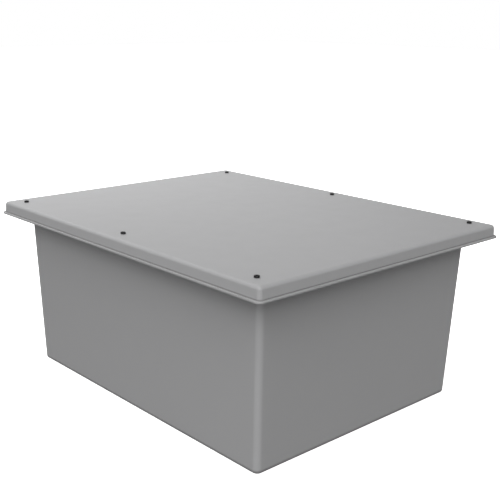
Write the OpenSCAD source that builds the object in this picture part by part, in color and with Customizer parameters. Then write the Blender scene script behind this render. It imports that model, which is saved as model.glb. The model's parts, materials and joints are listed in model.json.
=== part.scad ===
// A buried chamber with a bolted cover: a drafted tub with a turned-down flange, closed by a
// shallow pan cover that screws hold down on a gasket. Millimetres, +Z up, and the origin is
// the centre of the tub's underside.

/* [Overall] */
// Length over the cover's lip
cover_l = 1000; // [700:10:1400]
// Width over the cover's lip
cover_w = 800; // [500:10:1200]
// Height from the tub's underside to the cover's top
total_h = 440; // [260:5:900]

/* [Cover] */
// Depth of the cover from its top to its lip's underside
cover_h = 32; // [26:1:60]
// Laminate thickness of the cover
cover_t = 5; // [3.5:0.5:7]
// How far the lip stands out from the skirt
lip_w = 6; // [4:0.5:12]
// Thickness of the lip
lip_t = 5; // [4:0.5:7]
// Rounding of the lip's outer edges
lip_edge_r = 1.5; // [0.5:0.1:1.9]
// Fillet where the skirt turns out into the lip
lip_fillet_r = 2; // [1:0.5:4]
// How much the skirt leans in between its lip and its top
skirt_lean = 1; // [0.5:0.1:2]
// Corner radius of the skirt in plan
skirt_corner_r = 10; // [10:1:40]
// Rounding where the top turns down into the skirt
cover_top_r = 8.5; // [5:0.5:9]

/* [Tub] */
// Laminate thickness of the tub's wall and flange
tub_t = 5; // [4:0.5:8]
// Thickness of the tub's floor
floor_t = 6; // [4:0.5:10]
// Draft of the tub's walls, in degrees
draft = 2; // [1:0.25:4]
// Corner radius of the tub in plan, outside
tub_corner_r = 15; // [12:1:60]
// Rounding of the tub's bottom edge, outside
tub_bottom_r = 8; // [7:0.5:11]
// Width of the flange outside the tub's wall
flange_w = 42; // [34:1:70]
// Corner radius of the flange in plan
flange_corner_r = 20; // [12:1:30]
// Running gap between the flange's edge and the cover's skirt
rim_gap = 3; // [1.5:0.5:5]
// How far the flange's turned-down edge stops above the lip's underside
return_recess = 3; // [1:0.5:6]
// Thickness of the gasket
gasket_t = 4; // [3:0.5:6]
// How far the gasket stays inside the flange's edge
gasket_margin = 2; // [1:0.5:5]
// Rounding kept free at the tub's mouth
mouth_r = 6; // [4:0.5:8]

/* [Screws] */
// Shank radius of a screw
screw_r = 3; // [2.5:0.5:4]
// Shank length of a screw, under its head
screw_len = 25; // [22:0.5:35]
// Head radius of a screw
head_r = 6; // [5.5:0.25:7]
// Head height of a screw
head_h = 3.5; // [3:0.25:5]
// Rounding of the head's upper edge
head_edge_r = 1.2; // [0.4:0.1:1.4]
// Width across the flats of the screw's hexagon socket
socket_af = 4; // [3:0.5:5]
// Depth of the hexagon socket
socket_depth = 2; // [1.5:0.25:2.25]
// Thickness of the seal washer under a head
washer_t = 1; // [0.8:0.1:2]
// Distance of the screw line from the long walls' outer faces
screw_line = 10; // [9:0.5:12]
// Wall of the bush that a screw passes through in the cover
bush_wall = 1.2; // [1:0.1:1.5]
// Thickness of the bush's collar, let into the cover's top
collar_t = 1; // [0.6:0.1:1.5]
// Wall of a rivet nut
nut_wall = 1.45; // [1.2:0.05:2]
// How far a rivet nut's head and crimp stand out from its barrel
nut_head_w = 1.6; // [1:0.1:2]
// Thickness of a rivet nut's head, let into the flange
nut_head_t = 1; // [0.6:0.1:1.5]
// Height of a rivet nut's crimp, under the flange
nut_crimp_h = 4; // [3:0.5:6]

/* [Stiffeners] */
// Width of a stiffener's box at the cover
stiffener_top_w = 50; // [40:1:80]
// Width of a stiffener's box at its lower face
stiffener_low_w = 38; // [30:1:60]
// Depth of a stiffener below the cover
stiffener_h = 36; // [24:1:60]
// Laminate thickness of a stiffener
stiffener_t = 3; // [2:0.5:5]
// Width of a stiffener's bonding flange on each side
bond_w = 22; // [15:1:35]
// Gap between a stiffener's end and the tub's wall
stiffener_gap = 18; // [10:1:40]

/* [Hidden] */

$fn = 96;
HULL_FN = 48;
CUT = 1; // how far a cut runs past the face it opens

// Clearances on the radius
THREAD_GAP = 0.05; // screw in its nut and its washer
BOND_GAP = 0.05;   // bonded and crimped inserts
BUSH_GAP = 0.3;    // screw in its bush
GASKET_GAP = 0.5;  // gasket around a bush
TIP_GAP = 2;       // screw's tip above the blind end of its nut

GELCOAT = [0.62, 0.62, 0.63];
LAMINATE = [0.5, 0.52, 0.48];
FOAM = [0.85, 0.78, 0.5];
STEEL = [0.72, 0.73, 0.75];
BLACK = [0.1, 0.1, 0.11];
RUBBER = [0.16, 0.16, 0.16];

// Heights
cover_low = total_h - cover_h;
cover_under = total_h - cover_t;
flange_top = cover_under - gasket_t;
return_low = cover_low + return_recess;
screw_seat = total_h + washer_t;
screw_tip = screw_seat - screw_len;
nut_bottom = screw_tip - 2 * TIP_GAP;

// Cover in plan: the section is swept around a rectangle through its corner centres
run_l = cover_l - 2 * (lip_w + skirt_corner_r);
run_w = cover_w - 2 * (lip_w + skirt_corner_r);
top_reach = skirt_corner_r - skirt_lean;
top_r = min(cover_top_r, top_reach - 0.5);
inner_r = max(top_r - cover_t, 0.5);

// Tub in plan
flange_l = cover_l - 2 * (lip_w + cover_t + rim_gap);
flange_b = cover_w - 2 * (lip_w + cover_t + rim_gap);
tub_l = flange_l - 2 * flange_w;
tub_w = flange_b - 2 * flange_w;
cavity_l = tub_l - 2 * tub_t;
cavity_w = tub_w - 2 * tub_t;
cavity_r = tub_corner_r - tub_t;

// Screws, counted round the cover from the corner at -X, -Y
SCREW_SIDES = [[-1, -1], [0, -1], [1, -1], [1, 1], [0, 1], [-1, 1]];
screw_at = [for (s = SCREW_SIDES) [s.x * tub_l / 2, s.y * (tub_w / 2 + screw_line)]];
bush_bore_r = screw_r + BUSH_GAP;
bush_r = bush_bore_r + bush_wall;
nut_bore_r = screw_r + THREAD_GAP;
nut_r = nut_bore_r + nut_wall;
nut_head_r = nut_r + nut_head_w;

// Stiffeners
STIFFENERS = 3;
stiffener_pitch = cavity_l / (STIFFENERS + 1);
stiffener_l = cavity_w - 2 * stiffener_gap;
stiffener_x = [for (i = [1:STIFFENERS]) (i - (STIFFENERS + 1) / 2) * stiffener_pitch];

// A flat rectangle with round corners
module rounded_rect(l, w, r) {
    square([l - 2 * r, w], center = true);
    square([l, w - 2 * r], center = true);
    for (x = [-1, 1], y = [-1, 1]) translate([x * (l / 2 - r), y * (w / 2 - r)]) circle(r);
}

// Sweeps a section round a rectangle of l by w. The section's x is measured outwards from
// that rectangle and its y is the height, so each corner turns about a corner of it.
module sweep_round(l, w) {
    for (k = [0:3]) {
        along = k % 2 == 0 ? w : l;
        out = k % 2 == 0 ? l / 2 : w / 2;
        rotate(90 * k) translate([out, along / 2, 0]) {
            rotate([90, 0, 0]) linear_extrude(along) children();
            rotate_extrude(angle = 90) children();
        }
    }
}

// Section of a solid pan from its middle out: foot reach at low, less reach at high, where
// its edge is rounded
module pan_section(reach, foot, low, high, r) {
    polygon([[0, low], [foot, low], [reach, high - r], [reach - r, high], [0, high]]);
    translate([reach - r, high - r]) intersection() {
        circle(r);
        square(r);
    }
}

// Section of the cover's lip, with its outer edges rounded and its fillet to the skirt
module lip_section() {
    out = skirt_corner_r + lip_w;
    high = cover_low + lip_t;
    inside = skirt_corner_r - cover_t;
    translate([inside, cover_low]) square([out - lip_edge_r - inside, lip_t]);
    translate([inside, cover_low + lip_edge_r]) square([out - inside, lip_t - 2 * lip_edge_r]);
    for (z = [cover_low + lip_edge_r, high - lip_edge_r])
        translate([out - lip_edge_r, z]) circle(lip_edge_r);
    translate([skirt_corner_r - 0.5, high - 0.5]) difference() {
        square(lip_fillet_r + 0.5);
        translate([lip_fillet_r + 0.5, lip_fillet_r + 0.5]) circle(lip_fillet_r);
    }
}

module cover_section() {
    difference() {
        union() {
            pan_section(top_reach, skirt_corner_r, cover_low, total_h, top_r);
            lip_section();
        }
        intersection() {
            pan_section(top_reach - cover_t, skirt_corner_r - cover_t, cover_low - CUT,
                cover_under, inner_r);
            translate([0, cover_low - CUT]) square([skirt_corner_r, cover_h + CUT]);
        }
    }
}

// A block whose walls lean in downwards by the draft, with plan corners of radius r and a
// bottom edge rounded by edge_r. l and w are its outside sizes at height high.
module drafted_block(l, w, r, low, high, edge_r) {
    lean = (high - low - edge_r) * tan(draft);
    hull() {
        for (x = [-1, 1], y = [-1, 1]) {
            translate([x * (l / 2 - r), y * (w / 2 - r), high - 1])
                cylinder(r = r, h = 1, $fn = HULL_FN);
            translate([x * (l / 2 - lean - r), y * (w / 2 - lean - r), low + edge_r])
                rotate_extrude($fn = HULL_FN) translate([r - edge_r, 0]) intersection() {
                    circle(edge_r, $fn = HULL_FN);
                    translate([0, -edge_r]) square(edge_r);
                }
        }
    }
}

module tub() {
    color(GELCOAT) difference() {
        union() {
            drafted_block(tub_l, tub_w, tub_corner_r, 0, flange_top, tub_bottom_r);
            translate([0, 0, flange_top - tub_t])
                linear_extrude(tub_t) rounded_rect(flange_l, flange_b, flange_corner_r);
            translate([0, 0, return_low]) linear_extrude(flange_top - return_low) difference() {
                rounded_rect(flange_l, flange_b, flange_corner_r);
                rounded_rect(flange_l - 2 * tub_t, flange_b - 2 * tub_t, flange_corner_r - tub_t);
            }
        }
        drafted_block(cavity_l + 2 * CUT * tan(draft), cavity_w + 2 * CUT * tan(draft), cavity_r,
            floor_t, flange_top + CUT, max(tub_bottom_r - tub_t, 2));
        for (p = screw_at) translate([p.x, p.y, flange_top - nut_head_t]) {
            cylinder(r = nut_head_r + BOND_GAP, h = nut_head_t + CUT);
            translate([0, 0, -tub_t]) cylinder(r = nut_r + BOND_GAP, h = tub_t + CUT);
        }
    }
}

// A closed-end threaded insert: its head is let into the flange and its crimp grips below
module rivet_nut() {
    difference() {
        union() {
            translate([0, 0, nut_bottom]) cylinder(r = nut_r, h = flange_top - nut_bottom);
            translate([0, 0, flange_top - nut_head_t]) cylinder(r = nut_head_r, h = nut_head_t);
            translate([0, 0, flange_top - tub_t - nut_crimp_h])
                cylinder(r = nut_head_r, h = nut_crimp_h);
        }
        translate([0, 0, nut_bottom + TIP_GAP])
            cylinder(r = nut_bore_r, h = flange_top - nut_bottom);
    }
}

module rivet_nuts() {
    color(STEEL) for (p = screw_at) translate([p.x, p.y, 0]) rivet_nut();
}

module gasket() {
    color(RUBBER) translate([0, 0, flange_top]) linear_extrude(gasket_t) difference() {
        rounded_rect(flange_l - 2 * gasket_margin, flange_b - 2 * gasket_margin,
            flange_corner_r - gasket_margin);
        rounded_rect(cavity_l + 2 * mouth_r, cavity_w + 2 * mouth_r, cavity_r + mouth_r);
        for (p = screw_at) translate(p) circle(bush_r + GASKET_GAP);
    }
}

module cover() {
    color(GELCOAT) difference() {
        union() {
            sweep_round(run_l, run_w) cover_section();
            translate([-run_l / 2, -run_w / 2, cover_under]) cube([run_l, run_w, cover_t]);
        }
        for (p = screw_at) translate([p.x, p.y, total_h - collar_t]) {
            cylinder(r = head_r + BOND_GAP, h = collar_t + CUT);
            translate([0, 0, -cover_t]) cylinder(r = bush_r + BOND_GAP, h = cover_t + CUT);
        }
    }
}

// A shouldered sleeve that stops a screw from crushing the cover and the gasket
module cover_bush() {
    difference() {
        union() {
            translate([0, 0, flange_top]) cylinder(r = bush_r, h = total_h - flange_top);
            translate([0, 0, total_h - collar_t]) cylinder(r = head_r, h = collar_t);
        }
        translate([0, 0, flange_top - CUT])
            cylinder(r = bush_bore_r, h = total_h - flange_top + 2 * CUT);
    }
}

module cover_bushes() {
    color(STEEL) for (p = screw_at) translate([p.x, p.y, 0]) cover_bush();
}

// The box of a top-hat stiffener: l long, narrowing from top_w to low_w over its depth h
module stiffener_box(l, top_w, low_w, h) {
    translate([0, 0, cover_under]) rotate([90, 0, 0]) linear_extrude(l, center = true)
        polygon([[-top_w / 2, 0], [top_w / 2, 0], [low_w / 2, -h], [-low_w / 2, -h]]);
}

module core_box() {
    stiffener_box(stiffener_l - 2 * stiffener_t, stiffener_top_w - 2 * stiffener_t,
        stiffener_low_w - 2 * stiffener_t, stiffener_h - stiffener_t);
}

module stiffener(i) {
    color(LAMINATE) translate([stiffener_x[i], 0, 0]) difference() {
        union() {
            stiffener_box(stiffener_l, stiffener_top_w, stiffener_low_w, stiffener_h);
            translate([0, 0, cover_under - stiffener_t / 2])
                cube([stiffener_top_w + 2 * bond_w, stiffener_l, stiffener_t], center = true);
        }
        core_box();
    }
}

module stiffener_core(i) {
    color(FOAM) translate([stiffener_x[i], 0, 0]) core_box();
}

module bolt(i) {
    color(BLACK) translate([screw_at[i].x, screw_at[i].y, screw_seat]) difference() {
        rotate_extrude() {
            pan_section(head_r, head_r, 0, head_h, head_edge_r);
            translate([0, -screw_len]) square([screw_r, screw_len]);
        }
        translate([0, 0, head_h - socket_depth])
            cylinder(r = socket_af / sqrt(3), h = socket_depth + CUT, $fn = 6);
    }
}

module seal_washer(i) {
    color(RUBBER) translate([screw_at[i].x, screw_at[i].y, total_h]) difference() {
        cylinder(r = head_r, h = washer_t);
        translate([0, 0, -CUT]) cylinder(r = screw_r + THREAD_GAP, h = washer_t + 2 * CUT);
    }
}

tub();
gasket();
rivet_nuts();
cover();
cover_bushes();
for (i = [0:STIFFENERS - 1]) {
    stiffener(i);
    stiffener_core(i);
}
for (i = [0:len(screw_at) - 1]) {
    bolt(i);
    seal_washer(i);
}
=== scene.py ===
import json
import logging
import math
from dataclasses import dataclass, field
from enum import Enum

import bpy
import numpy as np
from mathutils import Matrix, Vector
from mathutils.geometry import delaunay_2d_cdt

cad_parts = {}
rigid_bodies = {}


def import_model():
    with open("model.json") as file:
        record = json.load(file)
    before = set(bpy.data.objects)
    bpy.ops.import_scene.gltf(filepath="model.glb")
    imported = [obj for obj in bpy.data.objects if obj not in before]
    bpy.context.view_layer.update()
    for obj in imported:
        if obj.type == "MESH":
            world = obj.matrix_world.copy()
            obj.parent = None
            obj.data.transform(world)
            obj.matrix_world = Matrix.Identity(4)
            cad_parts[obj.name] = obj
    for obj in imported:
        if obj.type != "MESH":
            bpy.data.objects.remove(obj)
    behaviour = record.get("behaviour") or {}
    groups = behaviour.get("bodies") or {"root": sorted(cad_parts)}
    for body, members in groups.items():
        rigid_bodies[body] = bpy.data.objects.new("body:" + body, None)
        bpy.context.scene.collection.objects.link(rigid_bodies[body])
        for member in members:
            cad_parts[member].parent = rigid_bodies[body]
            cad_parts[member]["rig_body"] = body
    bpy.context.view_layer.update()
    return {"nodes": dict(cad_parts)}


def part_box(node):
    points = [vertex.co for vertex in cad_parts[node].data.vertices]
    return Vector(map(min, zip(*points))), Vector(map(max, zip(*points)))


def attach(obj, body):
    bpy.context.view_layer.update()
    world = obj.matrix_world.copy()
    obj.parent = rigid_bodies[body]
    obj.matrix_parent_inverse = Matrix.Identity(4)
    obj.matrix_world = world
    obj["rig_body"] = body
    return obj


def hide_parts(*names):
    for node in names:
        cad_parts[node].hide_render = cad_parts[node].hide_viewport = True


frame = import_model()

MM = 0.001
LOG = logging.getLogger("chamber")
WELD = 1e-7
# Edge marks: 0 is plain, up to 1 an edge rubbed paler, down to -1 painted shade in a crease.
FLAT, CREASE_SHADE = 0.0, -1.0
WAVE_SCALE = 0.314
Place = tuple[float, float]
Colour = tuple[float, float, float]
Socket = bpy.types.NodeSocket


# Surfaces


class Facing(Enum):
    """Which way a flat fill faces."""

    UP = 1
    DOWN = -1


def rounded_rings(
    half_l: np.ndarray, half_w: np.ndarray, radius: np.ndarray, z: np.ndarray, arc: int = 12
) -> np.ndarray:
    """Rounded rectangles stacked into a tube, counter-clockwise seen from above.

    Each ring has four quarter circles, centred radius inside its corners:
    (x, y) = corner centre + radius (cos t, sin t), with t running a quarter turn per corner.

    Args:
        half_l: Half length of each ring.
        half_w: Half width of each ring.
        radius: Corner radius of each ring.
        z: Height of each ring.
        arc: Steps in each corner.

    Returns:
        Points of shape (rings, 4 (arc + 1), 3).
    """
    half_l, half_w, radius, z = np.broadcast_arrays(half_l, half_w, radius, z)
    turn = np.arange(4)[:, None] * np.pi / 2 + np.linspace(0, np.pi / 2, arc + 1)
    side_x = np.array([1, -1, -1, 1])[:, None]
    side_y = np.array([1, 1, -1, -1])[:, None]
    r = radius[:, None, None]
    x = side_x * (half_l[:, None, None] - r) + r * np.cos(turn)
    y = side_y * (half_w[:, None, None] - r) + r * np.sin(turn)
    rings = np.stack([x, y, np.broadcast_to(z[:, None, None], x.shape)], axis=-1)
    return rings.reshape(len(z), -1, 3)


def lathe_rings(radius: np.ndarray, z: np.ndarray, centre: Place, steps: int = 48) -> np.ndarray:
    """Circles of the given radii stacked into a tube: (x, y) = centre + radius (cos t, sin t).

    Args:
        radius: Radius of each ring, shape (rings,), or (rings, steps) where it varies with t.
        z: Height of each ring.
        centre: The tube's axis.
        steps: Points round each ring.

    Returns:
        Points of shape (rings, steps, 3).
    """
    turn = np.linspace(0, 2 * np.pi, steps, endpoint=False)
    radius = np.reshape(radius, (len(z), -1))
    x = centre[0] + radius * np.cos(turn)
    y = centre[1] + radius * np.sin(turn)
    return np.stack([x, y, np.broadcast_to(np.reshape(z, (-1, 1)), x.shape)], axis=-1)


def turned(
    parts: list[tuple[np.ndarray, np.ndarray, float]], centre: Place, steps: int
) -> tuple[np.ndarray, np.ndarray]:
    """Turns a section that is given in stretches.

    Args:
        parts: Radii of each stretch, one a ring or one a point, its heights and its edge mark.
        centre: The axis.
        steps: Points round each ring.

    Returns:
        The rings, and the edge mark of each.
    """
    radii = [np.broadcast_to(np.reshape(r, (len(z), -1)), (len(z), steps)) for r, z, _ in parts]
    heights = np.concatenate([z for _, z, _ in parts])
    marks = np.concatenate([np.full(len(z), mark) for _, z, mark in parts])
    return lathe_rings(np.vstack(radii), heights, centre, steps), marks


def arc_points(centre: Place, r: float, start: float, stop: float, n: int) -> np.ndarray:
    """Points on an arc of a profile: centre + r (cos a, sin a), a from start to stop in degrees.

    Args:
        centre: The arc's centre.
        r: Its radius.
        start: First angle.
        stop: Last angle.
        n: Steps.

    Returns:
        Points of shape (n + 1, 2).
    """
    a = np.radians(np.linspace(start, stop, n + 1))
    return np.stack([centre[0] + r * np.cos(a), centre[1] + r * np.sin(a)], axis=-1)


def inside_loop(points: np.ndarray, loop: np.ndarray) -> np.ndarray:
    """Which points lie inside a closed loop, by counting the edges that a ray to +X crosses.

    Args:
        points: Shape (p, 2).
        loop: Shape (n, 2).

    Returns:
        Booleans of shape (p,).
    """
    a, b = loop, np.roll(loop, -1, axis=0)
    px, py = points[:, :1], points[:, 1:]
    spans = (a[:, 1] > py) != (b[:, 1] > py)
    rise = np.where(a[:, 1] == b[:, 1], 1.0, b[:, 1] - a[:, 1])
    cross = a[:, 0] + (py - a[:, 1]) * (b[:, 0] - a[:, 0]) / rise
    return (np.sum(spans & (px < cross), axis=1) % 2).astype(bool)


class Shell:
    """Gathers grids, fills and caps into one welded, closed mesh."""

    def __init__(self) -> None:
        """Starts with no points and no faces."""
        self.points: list[np.ndarray] = []
        self.faces: list[np.ndarray] = []
        self.marks: list[np.ndarray] = []
        self.slots: list[np.ndarray] = []
        self.count = 0

    def _add(self, points: np.ndarray, faces: np.ndarray, mark: np.ndarray, slot: int) -> None:
        """Appends points with their edge marks, and faces that index them.

        Args:
            points: Shape (p, 3).
            faces: Shape (f, 3) or (f, 4).
            mark: Edge mark of each point, from -1 for full painted shade through FLAT to 1 on a sharp edge
                rubbed paler.
            slot: Material index of the faces.
        """
        self.points.append(points)
        self.faces.append(faces + self.count)
        self.marks.append(np.broadcast_to(mark, len(points)).astype(float))
        self.slots.append(np.full(len(faces), slot))
        self.count += len(points)

    def tube(
        self, rings: np.ndarray, mark: float | np.ndarray = FLAT, slot: int = 0, closed: bool = False
    ) -> None:
        """Joins each ring to the next with quads. They face away from the axis as rings rise.

        Args:
            rings: Shape (m, n, 3).
            mark: Edge mark, one for all or one per ring.
            slot: Material index.
            closed: Joins the last ring to the first as well.
        """
        m, n = rings.shape[:2]
        index = np.arange(m * n).reshape(m, n)
        low = index if closed else index[:-1]
        high = np.roll(index, -1, axis=0) if closed else index[1:]
        quads = np.stack([low, np.roll(low, -1, axis=1), np.roll(high, -1, axis=1), high], axis=-1)
        marks = np.repeat(np.broadcast_to(mark, m), n)
        self._add(rings.reshape(-1, 3), quads.reshape(-1, 4), marks, slot)

    def cone(self, ring: np.ndarray, tip: tuple[float, float, float], facing: Facing) -> None:
        """Closes a ring with triangles to one point.

        Args:
            ring: Shape (n, 3).
            tip: The point.
            facing: The side that the triangles face.
        """
        n = len(ring)
        index = np.arange(n)
        edge = (index, np.roll(index, -1))
        first, second = edge if facing is Facing.UP else edge[::-1]
        faces = np.stack([first, second, np.full(n, n)], axis=-1)
        self._add(np.vstack([ring, tip]), faces, FLAT, 0)

    def pierce(
        self, places: list[Place], radii: list[float], heights: list[float]
    ) -> tuple[list[np.ndarray], list[np.ndarray]]:
        """Adds the wall of one round hole at each place.

        Args:
            places: The holes' axes.
            radii: Radii of a hole, from its upper rim down.
            heights: The height of each radius.

        Returns:
            The upper rims and the lower rims.
        """
        holes = [lathe_rings(radii, heights, place) for place in places]
        for hole in holes:
            self.tube(hole)
        return [hole[0] for hole in holes], [hole[-1] for hole in holes]

    def fill(self, outer: np.ndarray, holes: list[np.ndarray], facing: Facing, slot: int = 0) -> None:
        """Fills a flat region at the height of its outer loop, leaving out its holes.

        Args:
            outer: Outer loop, shape (n, 3), counter-clockwise from above.
            holes: Loops to leave out, each of shape (k, 3).
            facing: The side that the fill faces.
            slot: Material index.
        """
        loops = [outer, *holes]
        flat = np.vstack(loops)
        starts = np.cumsum([0] + [len(loop) for loop in loops])
        edges = [
            np.stack([np.arange(a, b), np.roll(np.arange(a, b), -1)], axis=-1)
            for a, b in zip(starts[:-1], starts[1:])
        ]
        corners = [Vector(p) for p in flat[:, :2]]
        made = delaunay_2d_cdt(corners, np.vstack(edges).tolist(), [], 0, 1e-9)
        origin = np.array([ids[0] for ids in made[3]])
        faces = origin[np.array(made[2])]
        middle = flat[faces].mean(axis=1)[:, :2]
        keep = inside_loop(middle, outer[:, :2])
        for hole in holes:
            keep &= ~inside_loop(middle, hole[:, :2])
        faces = faces[keep]
        a, b, c = (flat[faces[:, k], :2] for k in range(3))
        turn = (b - a)[:, 0] * (c - a)[:, 1] - (b - a)[:, 1] * (c - a)[:, 0]
        wrong = np.sign(turn) != facing.value
        faces[wrong] = faces[wrong][:, ::-1]
        self._add(flat, faces, FLAT, slot)

    def take_turned(self, other: "Shell", place: Place) -> None:
        """Takes in another shell, its Y turned up to Z and its Z laid along Y.

        Args:
            other: The shell to take in.
            place: How far it moves along X and Z.
        """
        for points, faces, marks, slots in zip(other.points, other.faces, other.marks, other.slots):
            self.points.append(points[:, [0, 2, 1]] + [place[0], 0.0, place[1]])
            self.faces.append(faces[:, ::-1] + self.count)
            self.marks.append(marks)
            self.slots.append(slots)
        self.count += other.count

    def build(self, name: str, *finishes: bpy.types.Material, smooth: float = 32.0) -> bpy.types.Object:
        """Welds what meets, and makes the object at the origin.

        Args:
            name: The object's name.
            finishes: Materials, in the order of the slots.
            smooth: Edges that turn more than this, in degrees, are drawn sharp.

        Returns:
            The new object.
        """
        points = np.vstack(self.points)
        cells = np.round(points / WELD).astype(np.int64)
        _, first, owner = np.unique(cells, axis=0, return_index=True, return_inverse=True)
        owner = owner.ravel()
        marks = np.full(len(first), CREASE_SHADE)
        np.maximum.at(marks, owner, np.concatenate(self.marks))
        polygons = [face for group in self.faces for face in owner[group].tolist()]
        mesh = bpy.data.meshes.new(name)
        mesh.from_pydata(points[first].tolist(), [], polygons)
        for finish in finishes:
            mesh.materials.append(finish)
        mesh.polygons.foreach_set("material_index", np.concatenate(self.slots).astype(np.int32))
        edge = mesh.attributes.new("edge", "FLOAT", "POINT")
        edge.data.foreach_set("value", marks.astype(np.float32))
        mesh.polygons.foreach_set("use_smooth", np.ones(len(polygons), bool))
        mesh.set_sharp_from_angle(angle=math.radians(smooth))
        mesh.update()
        piece = bpy.data.objects.new(name, mesh)
        bpy.context.scene.collection.objects.link(piece)
        return piece


# Finishes


class NodeTree:
    """Adds nodes to a shader's tree."""

    def __init__(self, tree: bpy.types.NodeTree) -> None:
        """Takes the tree."""
        self.tree = tree

    def node(
        self,
        kind: str,
        values: dict[str | int, object],
        links: dict[str | int, Socket],
        **options: object,
    ) -> bpy.types.Node:
        """Adds one node.

        Args:
            kind: Its type, without the prefix that all share.
            values: Values of its own sockets.
            links: Sources of its other sockets.
            options: Its settings.

        Returns:
            The node.
        """
        node = self.tree.nodes.new(f"ShaderNode{kind}")
        for name, option in options.items():
            setattr(node, name, option)
        for socket, value in values.items():
            node.inputs[socket].default_value = value
        for socket, source in links.items():
            self.tree.links.new(source, node.inputs[socket])
        return node

    def span(self, value: Socket, low: float, high: float, start: float = 0.0, stop: float = 1.0) -> Socket:
        """Maps a value from start..stop to low..high.

        Args:
            value: The value.
            low: Result at start.
            high: Result at stop.
            start: Lowest value.
            stop: Highest value.

        Returns:
            The mapped value.
        """
        ends = {"From Min": start, "From Max": stop, "To Min": low, "To Max": high}
        return self.node("MapRange", ends, {"Value": value}).outputs["Result"]


class Recipe(NodeTree):
    """Builds one procedural material on object coordinates."""

    def __init__(self, name: str, colour: Colour, rough: float) -> None:
        """Makes the material with its shader.

        Args:
            name: The material's name.
            colour: Linear base colour.
            rough: Roughness.
        """
        self.material = bpy.data.materials.new(name)
        self.material.use_nodes = True
        super().__init__(self.material.node_tree)
        self.shader = self.tree.nodes["Principled BSDF"]
        self.colour = colour
        self.paint: Socket | None = None
        self.set("Base Color", (*colour, 1.0))
        self.set("Roughness", rough)
        self.places = self.node("TexCoord", {}, {}).outputs["Object"]

    def set(self, socket: str, value: object) -> None:
        """Sets a value on the shader's own socket."""
        self.shader.inputs[socket].default_value = value

    def put(self, socket: str, source: Socket) -> None:
        """Links a source to one socket of the shader."""
        self.tree.links.new(source, self.shader.inputs[socket])

    def stretched(self, scale: Colour) -> Socket:
        """Object coordinates scaled along each axis."""
        return self.node("Mapping", {"Scale": scale}, {"Vector": self.places}).outputs["Vector"]

    def noise(self, size: float, detail: float = 2.0, places: Socket | None = None) -> Socket:
        """Noise from 0 to 1 whose blotches are about as wide as size, in metres.

        Args:
            size: Width of a blotch.
            detail: Octaves of finer noise.
            places: Coordinates, when they aren't the plain object ones.

        Returns:
            The noise.
        """
        values = {"Scale": 1.0 / size, "Detail": detail}
        return self.node("TexNoise", values, {"Vector": places or self.places}).outputs["Fac"]

    def patches(self, size: float, detail: float, most: float, start: float, stop: float) -> Socket:
        """Patches of noise: nothing where the noise is below start, rising to most at stop.

        Args:
            size: Width of a patch.
            detail: Octaves of finer noise.
            most: Highest value.
            start: Noise where patches begin.
            stop: Noise where they are full.

        Returns:
            The patches.
        """
        return self.span(self.noise(size, detail), 0.0, most, start, stop)

    def rubbed(self, size: float, detail: float, most: float, start: float, stop: float) -> Socket:
        """The same patches, only along edges: they are multiplied by the edge mark."""
        return self.math("MULTIPLY", self.edge(), self.patches(size, detail, most, start, stop))

    def cells(self, size: float) -> Socket:
        """Distance in a field of cells about as wide as size, in metres."""
        return self.node("TexVoronoi", {"Scale": 1.0 / size}, {"Vector": self.places}).outputs["Distance"]

    def waves(self, size: float, axis: str) -> Socket:
        """Parallel waves across an axis, one every size metres, bent by noise."""
        values = {"Scale": WAVE_SCALE / size, "Distortion": 1.0}
        return self.node("TexWave", values, {"Vector": self.places}, bands_direction=axis).outputs["Fac"]

    def edge(self) -> Socket:
        """The mesh's edge marks: rubbed paler above 0, painted shade below it."""
        return self.node("Attribute", {}, {}, attribute_name="edge").outputs["Fac"]

    def math(self, operation: str, a: Socket, b: Socket | float) -> Socket:
        """One arithmetic step on two values, clamped to the range 0 to 1.

        Args:
            operation: Name of the step, such as MULTIPLY.
            a: First value.
            b: Second value, a socket or a number.

        Returns:
            The result.
        """
        values, links = ({1: b}, {0: a}) if isinstance(b, float) else ({}, {0: a, 1: b})
        return self.node("Math", values, links, operation=operation, use_clamp=True).outputs[0]

    def tint(self, factor: Socket, tone: Colour) -> None:
        """Mixes a tone into the colour so far, and gives the shader the result.

        Args:
            factor: How much of the tone shows.
            tone: The other colour.
        """
        values, links = {7: (*tone, 1.0)}, {"Factor": factor}
        if self.paint is None:
            values[6] = (*self.colour, 1.0)
        else:
            links[6] = self.paint
        self.paint = self.node("Mix", values, links, data_type="RGBA").outputs[2]
        self.put("Base Color", self.paint)

    def bump(self, *layers: tuple[Socket, float]) -> None:
        """Stacks bump layers.

        Args:
            layers: The height of each, from 0 to 1, and its depth in metres.
        """
        below: dict[str, Socket] = {}
        for height, depth in layers:
            node = self.node("Bump", {"Distance": depth}, {"Height": height, **below})
            below = {"Normal": node.outputs["Normal"]}
        self.put("Normal", below["Normal"])


def shade(colour: Colour, factor: float) -> Colour:
    """A colour made lighter or darker by a factor."""
    return (colour[0] * factor, colour[1] * factor, colour[2] * factor)


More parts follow.
